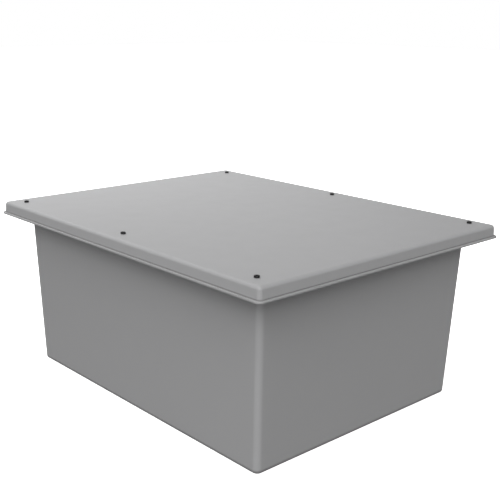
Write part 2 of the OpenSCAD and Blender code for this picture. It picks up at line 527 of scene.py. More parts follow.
@dataclass(frozen=True)
class Gelcoat:
    """Smooth pigmented gelcoat off a polished mould."""

    colour: Colour = (0.40, 0.40, 0.405)
    rough: float = 0.42
    peel: float = 0.0035
    peel_depth: float = 0.000012
    cloud: float = 0.12
    cloudiness: float = 0.985
    speck: float = 0.0008
    speck_depth: float = 0.000001
    hair: float = 0.0012
    haze: float = 0.05
    wear: float = 0.02
    paler: float = 1.1
    # Strength, mottle size and tone of the painted shade at the crease marks.
    painted_shade: float = 0.75
    shade_mottle: float = 0.03
    painted_shade_tone: Colour = (0.13, 0.128, 0.125)

    def make(self) -> bpy.types.Material:
        """Builds the material: faint clouds and specks, orange peel, hairlines, edges rubbed paler, painted
        shade in creases.

        Returns:
            The material.
        """
        r = Recipe("grey_gelcoat", self.colour, self.rough)
        r.tint(r.patches(self.cloud, 3.0, 0.5, 0.35, 0.75), shade(self.colour, self.cloudiness))
        r.tint(r.patches(self.speck, 1.0, 0.3, 0.62, 0.8), shade(self.colour, self.paler))
        rubbed = r.rubbed(self.wear, 4.0, 0.5, 0.4, 0.7)
        r.tint(rubbed, shade(self.colour, self.paler))
        # Painted shade: the colour darkens towards the crease marks, mottled by noise.
        painted_shade = r.span(r.edge(), self.painted_shade, 0.0, CREASE_SHADE, FLAT)
        r.tint(r.math("MULTIPLY", painted_shade, r.span(r.noise(self.shade_mottle, 4.0), 0.75, 1.0)), self.painted_shade_tone)
        haze = r.span(r.noise(self.haze, 5.0), self.rough - 0.02, self.rough + 0.03, 0.3, 0.7)
        hairs = r.span(r.noise(self.hair, 2.0, r.stretched((1.0, 0.04, 1.0))), 0.0, 0.08, 0.64, 0.74)
        worn = r.math("ADD", r.math("MULTIPLY", rubbed, 0.2), hairs)
        r.put("Roughness", r.math("ADD", haze, worn))
        r.set("IOR", 1.5)
        r.bump((r.noise(self.peel, 2.0), self.peel_depth), (r.noise(self.speck, 1.0), self.speck_depth))
        return r.material


@dataclass(frozen=True)
class FlowCoat:
    """Brushed-on top coat over the rough side of a hand-laid laminate."""

    colour: Colour = (0.33, 0.335, 0.33)
    rough: float = 0.5
    strand: float = 0.0016
    strand_depth: float = 0.00025
    drip: float = 0.03
    drip_depth: float = 0.0006

    def make(self) -> bpy.types.Material:
        """Builds the material: chopped strands under a lumpy coat with thin and thick patches.

        Returns:
            The material.
        """
        r = Recipe("grey_flowcoat", self.colour, self.rough)
        r.tint(r.patches(self.drip, 4.0, 0.7, 0.45, 0.7), shade(self.colour, 0.82))
        strands = r.noise(self.strand, 3.0, r.stretched((1.0, 0.18, 0.35)))
        crossing = r.noise(self.strand, 3.0, r.stretched((0.18, 1.0, 0.35)))
        weave = r.math("MAXIMUM", strands, crossing)
        r.tint(r.span(weave, 0.0, 0.4, 0.55, 0.8), shade(self.colour, 1.2))
        r.put("Roughness", r.span(weave, self.rough - 0.12, self.rough + 0.15, 0.4, 0.75))
        r.bump((r.noise(self.drip, 4.0), self.drip_depth), (weave, self.strand_depth))
        return r.material


@dataclass(frozen=True)
class BareLaminate:
    """Unpainted glass laminate, greenish where resin pooled."""

    colour: Colour = (0.34, 0.36, 0.29)
    rough: float = 0.36
    strand: float = 0.0018
    strand_depth: float = 0.0003
    lump: float = 0.03
    lump_depth: float = 0.0005
    pool: float = 0.045
    resin: Colour = (0.26, 0.29, 0.17)
    glass: Colour = (0.56, 0.58, 0.52)
    pin: float = 0.004
    pin_hole_shade: Colour = (0.12, 0.13, 0.09)

    def make(self) -> bpy.types.Material:
        """Builds the material: woven strands, resin pools, and pin holes drawn as dots of painted shade.

        Returns:
            The material.
        """
        r = Recipe("bare_laminate", self.colour, self.rough)
        along = r.noise(self.strand, 2.0, r.stretched((1.0, 0.12, 1.0)))
        across = r.noise(self.strand, 2.0, r.stretched((0.12, 1.0, 0.12)))
        weave = r.math("MAXIMUM", along, across)
        r.tint(r.patches(self.pool, 3.0, 0.6, 0.45, 0.75), self.resin)
        r.tint(r.span(weave, 0.0, 0.6, 0.5, 0.78), self.glass)
        # Painted shade: pin holes are only dark dots in the colour.
        r.tint(r.span(r.cells(self.pin), 0.8, 0.0, 0.03, 0.1), self.pin_hole_shade)
        r.put("Roughness", r.span(weave, self.rough - 0.1, self.rough + 0.25, 0.4, 0.75))
        r.bump((r.noise(self.lump, 3.0), self.lump_depth), (weave, self.strand_depth))
        return r.material


@dataclass(frozen=True)
class RigidFoam:
    """Closed-cell foam cut with a saw."""

    colour: Colour = (0.72, 0.62, 0.36)
    rough: float = 0.85
    cell: float = 0.0009
    cell_depth: float = 0.0004
    saw_pitch: float = 0.006
    saw_tone: Colour = (0.85, 0.77, 0.52)

    def make(self) -> bpy.types.Material:
        """Builds the material: open cells with painted shade in their pits, and pale saw marks.

        Returns:
            The material.
        """
        r = Recipe("rigid_foam", self.colour, self.rough)
        cells = r.cells(self.cell)
        # Painted shade: the cells' pits are drawn darker.
        r.tint(r.span(cells, 0.6, 0.0, 0.0, 0.5), shade(self.colour, 0.7))
        r.tint(r.span(r.waves(self.saw_pitch, "Y"), 0.0, 0.3, 0.6, 1.0), self.saw_tone)
        r.put("Roughness", r.span(cells, self.rough, self.rough + 0.1))
        r.bump((cells, self.cell_depth))
        return r.material


@dataclass(frozen=True)
class BlackOxide:
    """Blackened steel, a little oily, bright where a tool has rubbed it."""

    colour: Colour = (0.022, 0.022, 0.024)
    rough: float = 0.38
    oil: float = 0.002
    oil_tone: Colour = (0.045, 0.043, 0.042)
    wear: float = 0.0009
    bright: Colour = (0.2, 0.2, 0.2)
    smudge: float = 0.0012
    grain: float = 0.0003
    grain_depth: float = 0.000008

    def make(self) -> bpy.types.Material:
        """Builds the material: oil clouds, fine turning grain and rubbed edges.

        Returns:
            The material.
        """
        r = Recipe("black_oxide", self.colour, self.rough)
        r.set("Metallic", 0.75)
        r.tint(r.patches(self.oil, 4.0, 0.7, 0.35, 0.7), self.oil_tone)
        r.tint(r.rubbed(self.wear, 3.0, 0.7, 0.5, 0.7), self.bright)
        smudges = r.noise(self.smudge, 3.0)
        r.put("Roughness", r.span(smudges, self.rough - 0.1, self.rough + 0.12, 0.3, 0.7))
        r.bump((r.noise(self.grain, 2.0), self.grain_depth))
        return r.material


@dataclass(frozen=True)
class TurnedSteel:
    """Stainless steel off a lathe, with its fine rings across Z."""

    colour: Colour = (0.55, 0.55, 0.56)
    rough: float = 0.42
    ring: float = 0.0006
    ring_depth: float = 0.00001
    stain: float = 0.004
    stain_tone: Colour = (0.42, 0.36, 0.3)

    def make(self) -> bpy.types.Material:
        """Builds the material: turning rings and a trace of tea stain.

        Returns:
            The material.
        """
        r = Recipe("turned_steel", self.colour, self.rough)
        r.set("Metallic", 1.0)
        rings = r.noise(self.ring, 3.0, r.stretched((0.06, 0.06, 1.0)))
        r.tint(r.patches(self.stain, 4.0, 0.35, 0.58, 0.8), self.stain_tone)
        r.put("Roughness", r.span(rings, self.rough - 0.1, self.rough + 0.15, 0.3, 0.7))
        r.bump((rings, self.ring_depth))
        return r.material


@dataclass(frozen=True)
class CellRubber:
    """Black rubber: closed-cell strip, or moulded when its pores are fine."""

    name: str
    colour: Colour = (0.03, 0.03, 0.031)
    rough: float = 0.72
    pore: float = 0.0009
    bloom: float = 0.06
    bloom_size: float = 0.015
    pore_depth: float = 0.00012
    # Tone of the painted shade in the pores.
    hollow: float = 0.012
    dent: float = 0.008
    dent_depth: float = 0.0001

    def make(self) -> bpy.types.Material:
        """Builds the material: pores with painted shade in them, grey bloom and shallow dents.

        Returns:
            The material.
        """
        r = Recipe(self.name, self.colour, self.rough)
        bloom = r.patches(self.bloom_size, 4.0, 0.8, 0.4, 0.75)
        r.tint(bloom, (self.bloom,) * 3)
        pores = r.cells(self.pore)
        # Painted shade: the pores' pits are drawn in the darker hollow tone.
        r.tint(r.span(pores, 0.6, 0.0, 0.0, 0.3), (self.hollow,) * 3)
        r.put("Roughness", r.span(bloom, self.rough, self.rough + 0.15))
        r.bump((pores, self.pore_depth), (r.noise(self.dent, 2.0), self.dent_depth))
        return r.material


class Finishes:
    """Every finish of the object, made once."""

    def __init__(self) -> None:
        """Builds the materials."""
        self.gelcoat = Gelcoat().make()
        self.flowcoat = FlowCoat().make()
        self.laminate = BareLaminate().make()
        self.foam = RigidFoam().make()
        self.black = BlackOxide().make()
        self.steel = TurnedSteel().make()
        self.gasket = CellRubber("gasket_rubber").make()
        self.washer = CellRubber("washer_rubber", (0.07, 0.07, 0.072), 0.6, 0.0003, 0.13).make()


# The object


def settle(piece: bpy.types.Object, node: str) -> bpy.types.Object:
    """Puts a piece in place of a CAD node: it rides on that node's body, and the node is hidden.

    Args:
        piece: The new piece.
        node: The CAD node that it stands for.

    Returns:
        The same piece.
    """
    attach(piece, frame["nodes"][node]["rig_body"])
    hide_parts(node)
    return piece


def node_centre(node: str) -> Place:
    """The middle of a CAD node in plan."""
    low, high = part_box(node)
    return ((low.x + high.x) / 2, (low.y + high.y) / 2)


def levels(node: str) -> tuple[float, float]:
    """The lowest and the highest point of a CAD node."""
    low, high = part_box(node)
    return low.z, high.z


@dataclass
class Screw:
    """Standard sizes of the screws, and their places, taken from the frame."""

    shank_r: float = 3.0 * MM
    pitch: float = 1.0 * MM
    thread_depth: float = 0.5 * MM
    thread_gap: float = 0.05 * MM
    wave_gain: float = 1.3
    rows_a_pitch: int = 8
    count: int = 6
    places: list[Place] = field(init=False)
    head_r: float = field(init=False)
    seat: float = field(init=False)
    top: float = field(init=False)
    tip: float = field(init=False)

    def __post_init__(self) -> None:
        """Reads the places and the heights from the frame."""
        self.places = [node_centre(f"bolt_{i + 1}") for i in range(self.count)]
        low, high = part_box("bolt_1")
        self.tip, self.top = low.z, high.z
        self.head_r = (high.x - low.x) / 2
        self.seat = levels("seal_washer_1")[1]

    def thread(self, z: np.ndarray, steps: int, extra: float = 0.0) -> np.ndarray:
        """Radius of the thread at each height and turn.

        The ridge follows (z / pitch - t / turn): its depth falls from the crest as a triangle
        wave of that phase with its peaks and roots cut flat.

        Args:
            z: Heights, shape (m,).
            steps: Points round the axis.
            extra: Added to the radius, for a nut.

        Returns:
            Radii of shape (m, steps).
        """
        turn = np.arange(steps) / steps
        phase = (z[:, None] / self.pitch - turn) % 1.0
        wave = np.clip(np.abs(2 * phase - 1) * self.wave_gain - (self.wave_gain - 1) / 2, 0.0, 1.0)
        return self.shank_r + extra - self.thread_depth * (1 - wave)

    def rows(self, low: float, high: float) -> np.ndarray:
        """Heights from low to high, a few to each pitch."""
        return np.linspace(low, high, round((high - low) / self.pitch * self.rows_a_pitch) + 1)


@dataclass
class Part:
    """What the parts share: the screws' sizes and places, and the finishes."""

    screw: Screw
    finishes: Finishes


@dataclass
class Cover(Part):
    """The pan cover: flat plate, rounded edge, leaning skirt and turned-out lip."""

    thickness: float = 5 * MM
    lip_w: float = 6 * MM
    lip_t: float = 5 * MM
    lip_edge_r: float = 1.1 * MM
    lip_fillet_r: float = 0.9 * MM
    lean: float = 1.0 * MM
    lean_at_lip: float = 0.1 * MM
    foot_h: float = 2 * MM
    foot_bevel: float = 0.4 * MM
    corner_r: float = 10 * MM
    top_r: float = 8.5 * MM
    collar_r: float = 6.05 * MM
    collar_t: float = 1.0 * MM
    sleeve_r: float = 4.55 * MM
    least_r: float = 0.5 * MM
    margin: float = 1.5 * MM
    painted_shade_share: float = 0.1

    def profile(self) -> tuple[np.ndarray, np.ndarray, int]:
        """The section from the underside's flat, round the lip, to the top's flat.

        Its x is the distance outwards from the corner centres and its y is the height.

        Returns:
            The points, their edge marks, and how many of them are on the inside.
        """
        low, high = levels("cover")
        under, lip_top = high - self.thickness, low + self.lip_t
        reach = self.corner_r - self.lean
        inner, inner_top = self.corner_r - self.thickness, reach - self.thickness
        inner_r = min(self.top_r - self.thickness, inner_top - self.least_r)
        out = self.corner_r + self.lip_w
        e, f = self.lip_edge_r, self.lip_fillet_r
        root = arc_points((self.corner_r + f - self.lean_at_lip, lip_top + f), f, -90, -178, 7)
        shoulder = arc_points((reach - self.top_r, high - self.top_r), self.top_r, 2, 90, 14)
        parts = [
            ([[inner_top - inner_r - self.margin, under]], FLAT),
            (arc_points((inner_top - inner_r, under - inner_r), inner_r, 90, 0, 6), FLAT),
            ([[inner - self.lean_at_lip, low + self.foot_h], [inner + self.foot_bevel, low]], FLAT),
            (arc_points((out - e, low + e), e, -90, 0, 5), 0.15),
            (arc_points((out - e, lip_top - e), e, 0, 90, 5), FLAT),
            # The root arc takes full painted shade in the crease between lip and skirt; it fades across the
            # lip's top and a share of the way up the skirt.
            (root, CREASE_SHADE),
            (root[-1:] + (shoulder[:1] - root[-1:]) * self.painted_shade_share, FLAT),
            (shoulder, 0.3),
            ([[reach - self.top_r - self.margin, high]], FLAT),
        ]
        inside = sum(len(p) for p, _ in parts[:3])
        marks = np.concatenate([np.full(len(p), m) for p, m in parts])
        return np.vstack([p for p, _ in parts]), marks, inside

    def build(self) -> bpy.types.Object:
        """Sweeps the section round the plan, and pierces the plate for the sleeves.

        Returns:
            The cover.
        """
        low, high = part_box("cover")
        run = Vector((high.x, high.y)) - Vector((1, 1)) * (self.corner_r + self.lip_w)
        points, marks, inside = self.profile()
        out = points[:, 0]
        rings = rounded_rings(run.x + out, run.y + out, np.maximum(out, self.least_r), points[:, 1])
        shell = Shell()
        shell.tube(rings[:inside], marks[:inside], slot=1)
        shell.tube(rings[inside - 1:], marks[inside - 1:])
        top, under, ledge = high.z, high.z - self.thickness, high.z - self.collar_t
        upper, lower = shell.pierce(
            self.screw.places,
            [self.collar_r, self.collar_r, self.sleeve_r, self.sleeve_r],
            [top, ledge, ledge, under],
        )
        shell.fill(rings[-1], upper, Facing.UP)
        shell.fill(rings[0], lower, Facing.DOWN, slot=1)
        piece = shell.build("cover_shell", self.finishes.gelcoat, self.finishes.flowcoat)
        return settle(piece, "cover")


@dataclass
class Tub(Part):
    """The drafted tub: floor, leaning walls, round mouth, flange and turned-down edge."""

    thickness: float = 5 * MM
    floor_t: float = 6 * MM
    draft: float = 2.0
    corner_r: float = 15 * MM
    least_r: float = 1 * MM
    bottom_r: float = 8 * MM
    flange_w: float = 42 * MM
    flange_corner_r: float = 20 * MM
    return_low: float = 411 * MM
    return_bevel: float = 1 * MM
    return_inner_bevel: float = 0.5 * MM
    edge_r: float = 2.0 * MM
    mouth_r: float = 6 * MM
    root_r: float = 3 * MM
    nut_head_r: float = 6.15 * MM
    nut_head_t: float = 1.0 * MM
    nut_r: float = 4.55 * MM
    margin: float = 1.5 * MM
    wall_rows: int = 12
    edge_rows: int = 9
    painted_shade_h: float = 3 * MM

    def wall(self, half: float, top: float, z: np.ndarray) -> np.ndarray:
        """Half size of a drafted wall at heights z, when it is half at the height top."""
        return half - (top - z) * math.tan(math.radians(self.draft))

    def skin(self, inset: float, bottom: float, top: float) -> tuple[np.ndarray, ...]:
        """One skin of the tub, from the edge of its flat bottom up to a height.

        Args:
            inset: How far the skin lies inside the tub's outer skin.
            bottom: Height of its flat bottom.
            top: Height where it ends.

        Returns:
            Half lengths, half widths, corner radii and heights, ring by ring.
        """
        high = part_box("tub")[1]
        edge = self.bottom_r - inset
        turn = np.radians(np.linspace(-90, 0, self.edge_rows))
        # The first wall ring stands a little above the bottom edge, so that the painted shade there stays
        # narrow.
        rise = np.linspace(bottom + edge + self.painted_shade_h, top, self.wall_rows)
        z = np.r_[bottom, bottom + edge * (1 + np.sin(turn)), rise]
        back = np.r_[edge + self.margin, edge * (1 - np.cos(turn)), np.zeros(self.wall_rows)]
        level = np.maximum(z, bottom + edge)
        half_l = self.wall(high.x - self.flange_w - inset, high.z, level) - back
        half_w = self.wall(high.y - self.flange_w - inset, high.z, level) - back
        return half_l, half_w, np.maximum(self.corner_r - inset - back, self.least_r), z

    @staticmethod
    def flare(skin: tuple[np.ndarray, ...], r: float, top: float) -> np.ndarray:
        """A quarter turn outwards above a skin: out by r (1 - cos a) and up by r sin a.

        Args:
            skin: The skin.
            r: Radius of the turn.
            top: Height where it lies flat.

        Returns:
            Its rings.
        """
        turn = np.radians(np.linspace(0, 90, 7))
        out = r * (1 - np.cos(turn))
        return rounded_rings(*(size[-1] + out for size in skin[:3]), top - r + r * np.sin(turn))

    def rim(self, top: float, under: float) -> tuple[np.ndarray, np.ndarray]:
        """The flange's edge, from the channel round the turned-down edge to the top's flat.

        Args:
            top: Height of the flange's top.
            under: Height of its underside.

        Returns:
            Its rings and their edge marks.
        """
        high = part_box("tub")[1]
        wide, narrow = self.return_bevel, self.return_inner_bevel
        section = np.vstack([
            [[-self.thickness, under], [-self.thickness, self.return_low + wide]],
            [[-self.thickness + narrow, self.return_low], [-wide, self.return_low]],
            [[0.0, self.return_low + wide]],
            arc_points((-self.edge_r, top - self.edge_r), self.edge_r, 0, 90, 6),
            [[-self.edge_r - self.margin, top]],
        ])
        out, z = section.T
        rings = rounded_rings(high.x + out, high.y + out, self.flange_corner_r + out, z)
        return rings, np.r_[FLAT, FLAT, 1, 1, 1, np.full(7, 0.6), FLAT]

    def build(self) -> bpy.types.Object:
        """Walks one closed skin: under the floor, up the wall, round the flange, down inside.

        Returns:
            The tub.
        """
        top = levels("tub")[1]
        under, ledge = top - self.thickness, top - self.nut_head_t
        outside = self.skin(0.0, 0.0, under - self.root_r)
        inside = self.skin(self.thickness, self.floor_t, top - self.mouth_r)
        outer, inner = rounded_rings(*outside), rounded_rings(*inside)[::-1]
        root, mouth = self.flare(outside, self.root_r, under), self.flare(inside, self.mouth_r, top)[::-1]
        rim, rim_marks = self.rim(top, under)
        shell = Shell()
        shell.fill(outer[0], [], Facing.DOWN)
        # The bottom edge's rings carry mark -0.8: painted shade darkens the colour along the foot of the
        # wall.
        shell.tube(outer, np.r_[FLAT, np.full(self.edge_rows, -0.8), np.zeros(self.wall_rows)])
        shell.tube(root)
        shell.tube(rim, rim_marks)
        shell.tube(mouth, np.r_[np.full(6, 0.5), FLAT])
        shell.tube(inner, slot=1)
        shell.fill(inner[-1], [], Facing.UP, slot=1)
        upper, lower = shell.pierce(
            self.screw.places,
            [self.nut_head_r, self.nut_head_r, self.nut_r, self.nut_r],
            [top, ledge, ledge, under],
        )
        shell.fill(rim[-1], [mouth[0], *upper], Facing.UP)
        shell.fill(rim[0], [root[-1], *lower], Facing.DOWN)
        piece = shell.build("tub_shell", self.finishes.gelcoat, self.finishes.flowcoat)
        return settle(piece, "tub")


@dataclass
class Gasket(Part):
    """The punched ring between the flange and the cover."""

    corner_r: float = 18 * MM
    hole_r: float = 5.0 * MM
    inner_margin: float = 39 * MM
    inner_r: float = 16 * MM
    edge_r: float = 0.6 * MM

    def build(self) -> bpy.types.Object:
        """Joins an upper and a lower punched face by rounded edges.

        Returns:
            The gasket.
        """
        low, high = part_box("gasket")
        e = self.edge_r
        section = [arc_points((-e, low.z + e), e, -90, 0, 3), arc_points((-e, high.z - e), e, 0, 90, 3)]
        out, z = np.vstack(section).T
        outer = rounded_rings(high.x + out, high.y + out, self.corner_r + out, z)
        hole_x, hole_y = high.x - self.inner_margin, high.y - self.inner_margin
        inner = rounded_rings(hole_x - out, hole_y - out, self.inner_r - out, z)[::-1]
        shell = Shell()
        shell.tube(outer, 0.5)
        shell.tube(inner, 0.5)
        upper, lower = shell.pierce(self.screw.places, [self.hole_r] * 2, [high.z, low.z])
        shell.fill(outer[-1], [inner[0], *upper], Facing.UP)
        shell.fill(outer[0], [inner[-1], *lower], Facing.DOWN)
        return settle(shell.build("gasket_ring", self.finishes.gasket), "gasket")


@dataclass
class Screws(Part):
    """Six low-headed screws with a hexagon socket and a rolled thread."""

    edge_r: float = 1.2 * MM
    bevel: float = 0.3 * MM
    point_r: float = 1.9 * MM
    chamfer: float = 0.6 * MM
    neck_r: float = 2.55 * MM
    runout: float = 0.2 * MM
    socket_af: float = 4 * MM
    socket_depth: float = 2 * MM
    socket_bevel: float = 0.2 * MM
    socket_dish_r: float = 3.2 * MM
    socket_lead: float = 0.5 * MM
    wall_share: float = 0.86
    cone_share: float = 0.93
    cone_narrow: float = 0.9
    steps: int = 48

    def hexagon(self, across: float) -> np.ndarray:
        """Radii round a hexagon: half across its flats over cos of the turn from a flat's middle."""
        turn = np.linspace(0, 2 * np.pi, self.steps, endpoint=False)
        return across / 2 / np.cos((turn + np.pi / 6) % (np.pi / 3) - np.pi / 6)

    def rings(self, place: Place) -> tuple[np.ndarray, np.ndarray]:
        """The screw's skin from its tip, round its head and down into the socket.

        Args:
            place: The screw's axis.

        Returns:
            The rings and their edge marks.
        """
        s, bevel, depth = self.screw, self.bevel, self.socket_depth
        rows = s.rows(s.tip + self.chamfer, s.seat - s.pitch)
        thread = s.thread(rows, self.steps)
        fade = np.clip((rows - rows[0]) / s.pitch, 0.0, 1.0)[:, None]
        thread = thread * fade + np.minimum(thread, s.shank_r - bevel) * (1 - fade)
        rim = arc_points((s.head_r - self.edge_r, s.top - self.edge_r), self.edge_r, 0, 90, 8)
        wide, mouth = self.hexagon(self.socket_af + self.socket_lead), self.hexagon(self.socket_af)
        drops = [0.0, self.socket_bevel, depth * self.wall_share, depth * self.cone_share]
        parts = [
            ([self.point_r], [s.tip], 0.3),
            (thread, rows, 0.15),
            ([self.neck_r, self.neck_r], [rows[-1] + self.runout, s.seat - bevel], FLAT),
            ([s.shank_r], [s.seat], FLAT),
            ([s.head_r - bevel, s.head_r], [s.seat, s.seat + bevel], 0.8),
            (rim[:, 0], rim[:, 1], 1.0),
            ([self.socket_dish_r], [s.top], 0.2),
            ([wide, mouth, mouth, mouth * self.cone_narrow], s.top - np.array(drops), 0.5),
        ]
        return turned(parts, place, self.steps)

    def build(self) -> list[bpy.types.Object]:
        """Makes each screw on its own body.

        Returns:
            The six screws.
        """
        made = []
        for number, place in enumerate(self.screw.places, 1):
            rings, marks = self.rings(place)
            shell = Shell()
            shell.tube(rings, marks)
            shell.cone(rings[0], (*place, self.screw.tip), Facing.DOWN)
            shell.cone(rings[-1], (*place, self.screw.top - self.socket_depth), Facing.UP)
            piece = shell.build(f"screw_{number}_turned", self.finishes.black, smooth=40.0)
            made.append(settle(piece, f"bolt_{number}"))
        return made


@dataclass
class Washers(Part):
    """Rubber seal washers under the heads, pressed out a little at mid height."""

    bulge: float = 0.12 * MM
    relief: float = 0.02 * MM
    rows: int = 7

    def build(self) -> list[bpy.types.Object]:
        """Turns each washer as a closed ring: its rim swells by the sine of its height.

        Returns:
            The six washers.
        """
        low, high = levels("seal_washer_1")
        high -= self.relief
        share = np.linspace(0, 1, self.rows)
        rim = self.screw.head_r - self.bulge * (1 - np.sin(share * np.pi))
        bore = self.screw.shank_r + self.screw.thread_gap
        marks = np.r_[FLAT, np.full(self.rows, 0.5), FLAT]
        made = []
        for number, place in enumerate(self.screw.places, 1):
            shell = Shell()
            rings = lathe_rings(np.r_[bore, rim, bore], np.r_[low, low + share * (high - low), high], place)
            shell.tube(rings, marks, closed=True)
            piece = shell.build(f"washer_{number}_ring", self.finishes.washer)
            made.append(settle(piece, f"seal_washer_{number}"))
        return made


@dataclass
class Inserts(Part):
    """The threaded inserts in the flange and the sleeves in the cover."""

    nut_r: float = 4.5 * MM
    head_w: float = 1.6 * MM
    head_t: float = 1.0 * MM
    flange_t: float = 5 * MM
    crimp_h: float = 4 * MM
    crimp_rows: int = 9
    crimp_fullness: float = 0.6
    sleeve_r: float = 4.5 * MM
    sleeve_bore: float = 3.3 * MM
    collar_t: float = 1.0 * MM
    blind: float = 2 * MM
    end_bevel: float = 0.5 * MM
    mouth_bevel: float = 0.4 * MM
    rim_bevel: float = 0.2 * MM
    bore_bevel: float = 0.3 * MM
    collar_bevel: float = 0.1 * MM
    knurls: int = 24
    knurl_h: float = 0.06 * MM
    steps: int = 48

    def nut(self, shell: Shell, place: Place) -> None:
        """Adds one insert: a knurled barrel, its crimp, its head, and a threaded blind bore.

        Args:
            shell: The mesh that takes it.
            place: Its axis.
        """
        low, high = levels("rivet_nuts")
        s, wide = self.screw, self.nut_r + self.head_w
        under, ledge = high - self.flange_t, high - self.head_t
        turn = np.arange(self.steps) / self.steps * 2 * np.pi
        knurled = self.nut_r - self.knurl_h * (1 - np.cos(turn * self.knurls))
        crimp = np.linspace(0, np.pi, self.crimp_rows)
        swell = self.nut_r + self.head_w * np.sin(crimp) ** self.crimp_fullness
        bore = s.rows(low + self.blind, high - self.mouth_bevel)[::-1]
        parts = [
            ([self.nut_r - self.end_bevel, self.nut_r], [low, low + self.end_bevel], FLAT),
            ([self.nut_r], [under - self.crimp_h], FLAT),
            (swell[1:-1], under - self.crimp_h * (1 - crimp[1:-1] / np.pi), FLAT),
            ([knurled, knurled], [under, ledge], FLAT),
            ([wide, wide], [ledge, high - self.rim_bevel], FLAT),
            ([wide - self.rim_bevel, s.shank_r + self.mouth_bevel], [high, high], FLAT),
            (s.thread(bore, self.steps, s.thread_gap), bore, FLAT),
        ]
        rings, marks = turned(parts, place, self.steps)
        shell.tube(rings, marks)
        shell.cone(rings[0], (*place, low), Facing.DOWN)
        shell.cone(rings[-1], (*place, low + self.blind - self.end_bevel), Facing.UP)

    def sleeve(self, shell: Shell, place: Place) -> None:
        """Adds one shouldered sleeve.

        Args:
            shell: The mesh that takes it.
            place: Its axis.
        """
        low, high = levels("cover_bushes")
        collar, ledge, bore = self.screw.head_r, high - self.collar_t, self.sleeve_bore
        section = np.array([
            [bore, low],
            [self.sleeve_r - self.rim_bevel, low],
            [self.sleeve_r, low + self.rim_bevel],
            [self.sleeve_r, ledge],
            [collar, ledge],
            [collar, high - self.collar_bevel],
            [collar - self.collar_bevel, high],
            [bore + self.bore_bevel, high],
            [bore, high - self.bore_bevel],
        ])
        shell.tube(lathe_rings(section[:, 0], section[:, 1], place), closed=True)

    def build(self) -> list[bpy.types.Object]:
        """Makes the two sets, each one piece of six solids.

        Returns:
            The inserts and the sleeves.
        """
        nuts, sleeves = Shell(), Shell()
        for place in self.screw.places:
            self.nut(nuts, place)
            self.sleeve(sleeves, place)
        steel = self.finishes.steel
        return [
            settle(nuts.build("rivet_nut_set", steel), "rivet_nuts"),
            settle(sleeves.build("cover_sleeve_set", steel), "cover_bushes"),
        ]


@dataclass
class Stiffeners(Part):
    """Top-hat stiffeners laid up over foam under the cover."""

    count: int = 3
    top_w: float = 50 * MM
    low_w: float = 38 * MM
    thickness: float = 3 * MM
    feather: float = 0.8 * MM
    feather_w: float = 8 * MM
    bend_r: float = 5 * MM

    def outline(self, half: float, depth: float) -> tuple[np.ndarray, np.ndarray]:
        """Half of the section, from the bonding flange's tip to the middle of the lower face.

        Args:
            half: Half of the section's whole width.
            depth: Its depth below the cover.

        Returns:
            The lower (outer) path and the upper (inner) path, each of shape (n, 2).
        """
        t, b, foot, toe_x = self.thickness, self.bend_r, self.top_w / 2, self.low_w / 2
        slope = math.degrees(math.atan2(depth, foot - toe_x))
        cut = b * math.tan(math.radians(slope / 2))
        knee = arc_points((foot + cut, -t - b), b, 90, 90 + slope, 5)
        toe = arc_points((toe_x - cut, -depth + b), b, slope - 90, -90, 5)
        outer = np.vstack([[[half, -self.feather], [half - self.feather_w, -t]], knee, toe, [[0.0, -depth]]])
        inner = np.array([[half, 0.0], [foot - t, 0.0], [toe_x - t, -depth + t], [0.0, -depth + t]])
        return outer, inner

    def build(self) -> list[bpy.types.Object]:
        """Sweeps each stiffener across the cover and closes its ends.

        Returns:
            The stiffeners.
        """
        made = []
        wall, mirror = self.thickness, np.array([-1.0, 1.0])
        for number in range(1, self.count + 1):
            node = f"stiffener_{number}"
            low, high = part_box(node)
            outer, inner = self.outline((high.x - low.x) / 2, high.z - low.z)
            far_outer, far_inner = outer * mirror, inner * mirror
            strip = np.vstack([outer, far_outer[-2::-1], far_inner, inner[-2::-1]])
            block = np.vstack([outer, far_outer[-2::-1], far_inner[:2], inner[1::-1]])
            hollow = np.vstack([inner[1:], far_inner[-2:0:-1]])
            place = ((low.x + high.x) / 2, high.z)
            shell = Shell()
            self.extrude(shell, strip, place, (low.y + wall, high.y - wall), (None, None))
            self.extrude(shell, block, place, (low.y, low.y + wall), (block, hollow))
            self.extrude(shell, block, place, (high.y - wall, high.y), (hollow, block))
            piece = shell.build(f"{node}_laid_up", self.finishes.laminate)
            made.append(settle(piece, node))
        return made

    @staticmethod
    def extrude(
        shell: Shell,
        outline: np.ndarray,
        place: Place,
        run: tuple[float, float],
        caps: tuple[np.ndarray | None, np.ndarray | None],
    ) -> None:
        """Carries an outline in X and Z straight along Y, and closes its ends with the caps.

        Args:
            shell: The mesh that takes it.
            outline: Closed outline, shape (n, 2), measured from place.
            place: X and Z of the outline's zero.
            run: First and last Y.
            caps: Outline that closes the first end and the last, or None where a wall goes on.
        """
        side = Shell()
        following = np.roll(outline, -1, axis=0)
        area = np.sum(outline[:, 0] * following[:, 1] - following[:, 0] * outline[:, 1])
        loop = outline if area > 0 else outline[::-1]
        side.tube(np.stack([np.pad(loop, ((0, 0), (0, 1)), constant_values=y) for y in run]))
        for cap, y, facing in zip(caps, run, (Facing.DOWN, Facing.UP)):
            if cap is not None:
                side.fill(np.pad(cap, ((0, 0), (0, 1)), constant_values=y), [], facing)
        shell.take_turned(side, place)

    def dress_cores(self) -> list[bpy.types.Object]:
        """Gives the foam cores their finish; their shape is the frame's own.

        Returns:
            The cores.
        """
        cores = [frame["nodes"][f"stiffener_core_{i + 1}"] for i in range(self.count)]
        for core in cores:
            core.data.materials.clear()
            core.data.materials.append(self.finishes.foam)
        return cores


# The studio


class LampKind(Enum):
    """How a lamp throws its light."""

    FAR = "SUN"
    NEAR = "AREA"


